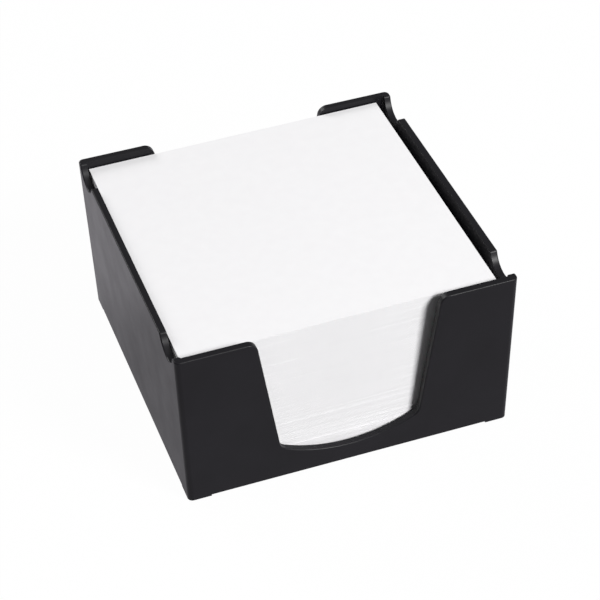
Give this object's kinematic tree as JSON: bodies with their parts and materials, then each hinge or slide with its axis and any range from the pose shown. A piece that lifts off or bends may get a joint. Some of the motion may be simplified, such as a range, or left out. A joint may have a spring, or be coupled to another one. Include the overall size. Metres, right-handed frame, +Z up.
{
  "type": "memo cube holder",
  "caption": "Open square desk tray with deep finger scoops front and back and round rim notches, filled with loose square white note sheets.",
  "frame": {"origin": "on the desk under the middle of the tray's foot print", "axes": "+Z up; -Y towards the user, through the front scoop; +X to the user's right"},
  "size_m": [0.0972, 0.0972, 0.0516],
  "materials": {
    "tray_plastic": "satin",
    "note_paper": "matte"
  },
  "bodies": {
    "tray": {"memo_tray": "tray_plastic"},
    "note_stack": {"bottom_sheets": "note_paper", "lower_sheets": "note_paper", "middle_sheets": "note_paper", "upper_sheets": "note_paper", "loose_top_sheets": "note_paper"},
    "single_top_sheet": {"top_sheet": "note_paper"}
  },
  "joints": [
    {"name": "note_stack_lift", "type": "slide", "parent": "tray", "child": "note_stack", "axis": [0, 0, 1], "range_m": [0, 0.0552]},
    {"name": "top_sheet_lift", "type": "slide", "parent": "note_stack", "child": "single_top_sheet", "axis": [0, 0, 1], "range_m": [0, 0.03]}
  ]
}
